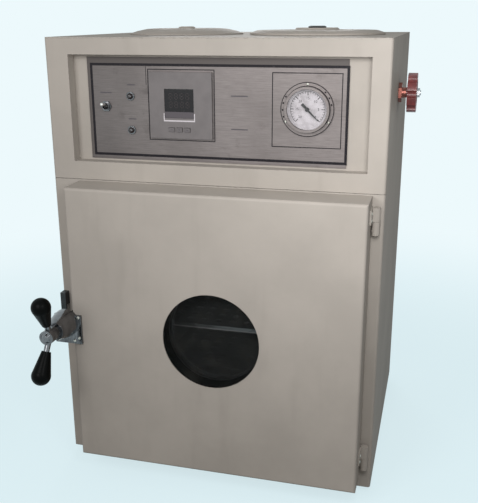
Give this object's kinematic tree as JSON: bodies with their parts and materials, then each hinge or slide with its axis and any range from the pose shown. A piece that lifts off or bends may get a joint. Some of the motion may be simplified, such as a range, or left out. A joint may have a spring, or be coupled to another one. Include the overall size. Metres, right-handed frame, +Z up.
{
  "type": "vacuum oven",
  "caption": "Bench vacuum drying oven: steel cabinet, round chamber, hinged door with round window, two-arm latch, recessed control panel, side valve and roof vents.",
  "frame": {"origin": "middle of the cabinet's footprint on the bench, at the bottom of the feet", "axes": "+X to the right seen from the front, +Y from the door to the rear, +Z up"},
  "size_m": [0.5405, 0.6072, 0.7053],
  "materials": {
    "paint_beige": "satin",
    "sheet_steel": "satin",
    "panel_aluminium": "brushed",
    "stainless": "satin",
    "blackened_steel": "satin",
    "chrome_plate": "polished",
    "black_grip": "glossy",
    "rubber_foot": "matte",
    "silicone_seal": "matte",
    "mineral_wool": "fibrous",
    "copper_pipe": "satin",
    "brass_fitting": "satin",
    "red_enamel": "gloss",
    "controller_plastic": "matte",
    "smoked_window": "glossy",
    "key_plastic": "matte",
    "dial_white": "matte",
    "needle_black": "matte",
    "clear_glass": "clear",
    "tinted_glass": "tinted",
    "lamp_lens": "translucent",
    "black_plastic": "matte",
    "heater_mica": "matte"
  },
  "bodies": {
    "cabinet": {"base_pan": "paint_beige", "feet": "rubber_foot", "left_panel": "paint_beige", "right_panel": "paint_beige", "roof_panel": "paint_beige", "rear_panel": "paint_beige", "front_fascia": "paint_beige", "lower_front": "paint_beige", "partition_tray": "sheet_steel", "panel_subframe": "paint_beige", "control_panel": "panel_aluminium", "chamber_flange": "stainless", "chamber_drum": "stainless", "chamber_back": "stainless", "door_gasket": "silicone_seal", "shelf_rails": "stainless", "drum_saddle": "sheet_steel", "band_heaters": "heater_mica", "insulation_jacket": "mineral_wool", "temperature_probe": "stainless", "vacuum_lines": "copper_pipe", "pump_nozzle": "brass_fitting", "valve_body": "brass_fitting", "gauge_case": "black_plastic", "gauge_bezel": "panel_aluminium", "gauge_dial": "dial_white", "gauge_glass": "clear_glass", "controller_body": "controller_plastic", "controller_window": "smoked_window", "switch_body": "chrome_plate", "lamp_bezels": "chrome_plate", "lamp_lenses": "lamp_lens", "power_relay": "black_plastic", "mains_inlet": "black_plastic", "cabinet_hinges": "paint_beige", "latch_keeper": "blackened_steel", "vent_knobs_base": "sheet_steel"},
    "door": {"door_hinges": "paint_beige", "door_pan": "paint_beige", "door_liner": "sheet_steel", "door_plate": "stainless", "door_insulation": "mineral_wool", "outer_pane": "tinted_glass", "window_tunnel": "black_plastic", "window_ring": "stainless", "window_glass": "clear_glass", "latch_housing": "chrome_plate"},
    "latch": {"latch_handle": "chrome_plate", "latch_grips": "black_grip"},
    "mains_switch_lever": {"switch_lever": "chrome_plate"},
    "key_set": {"controller_key_set": "key_plastic"},
    "key_down": {"controller_key_down": "key_plastic"},
    "key_up": {"controller_key_up": "key_plastic"},
    "gauge_needle": {"gauge_pointer": "needle_black"},
    "valve_wheel": {"valve_spindle": "sheet_steel", "valve_handwheel": "red_enamel"},
    "left_vent": {"left_vent_cap": "paint_beige"},
    "right_vent": {"right_vent_cap": "paint_beige"},
    "shelf_upper": {"upper_shelf": "stainless"},
    "shelf_lower": {"lower_shelf": "stainless"}
  },
  "joints": [
    {"name": "door_swing", "type": "hinge", "parent": "cabinet", "child": "door", "pos_m": [0.243, -0.219, 0.2575], "axis": [0, 0, 1], "range_deg": [0, 110]},
    {"name": "latch_turn", "type": "hinge", "parent": "door", "child": "latch", "pos_m": [-0.2205, -0.27, 0.2665], "axis": [0, 1, 0], "range_deg": [0, 90]},
    {"name": "switch_flip", "type": "hinge", "parent": "cabinet", "child": "mains_switch_lever", "pos_m": [-0.167, -0.1895, 0.592], "axis": [1, 0, 0], "range_deg": [0, 24]},
    {"name": "key_set_press", "type": "slide", "parent": "cabinet", "child": "key_set", "axis": [0, 1, 0], "range_m": [0, 0.0008], "stiffness_N_per_m": 600},
    {"name": "key_down_press", "type": "slide", "parent": "cabinet", "child": "key_down", "axis": [0, 1, 0], "range_m": [0, 0.0008], "stiffness_N_per_m": 600},
    {"name": "key_up_press", "type": "slide", "parent": "cabinet", "child": "key_up", "axis": [0, 1, 0], "range_m": [0, 0.0008], "stiffness_N_per_m": 600},
    {"name": "needle_sweep", "type": "hinge", "parent": "cabinet", "child": "gauge_needle", "pos_m": [0.138, -0.196, 0.5945], "axis": [0, -1, 0], "range_deg": [0, 270], "stiffness_Nm_per_rad": 0.002},
    {"name": "valve_turn", "type": "hinge", "parent": "cabinet", "child": "valve_wheel", "pos_m": [0.2735, -0.032, 0.606], "axis": [1, 0, 0], "range_deg": [0, 720]},
    {"name": "left_vent_turn", "type": "hinge", "parent": "cabinet", "child": "left_vent", "pos_m": [-0.102, 0, 0.692], "axis": [0, 0, 1], "range_deg": [0, 30]},
    {"name": "right_vent_turn", "type": "hinge", "parent": "cabinet", "child": "right_vent", "pos_m": [0.118, 0, 0.692], "axis": [0, 0, 1], "range_deg": [0, 30]},
    {"name": "upper_shelf_slide", "type": "slide", "parent": "cabinet", "child": "shelf_upper", "axis": [0, -1, 0], "range_m": [0, 0.028]},
    {"name": "lower_shelf_slide", "type": "slide", "parent": "cabinet", "child": "shelf_lower", "axis": [0, -1, 0], "range_m": [0, 0.028]}
  ]
}
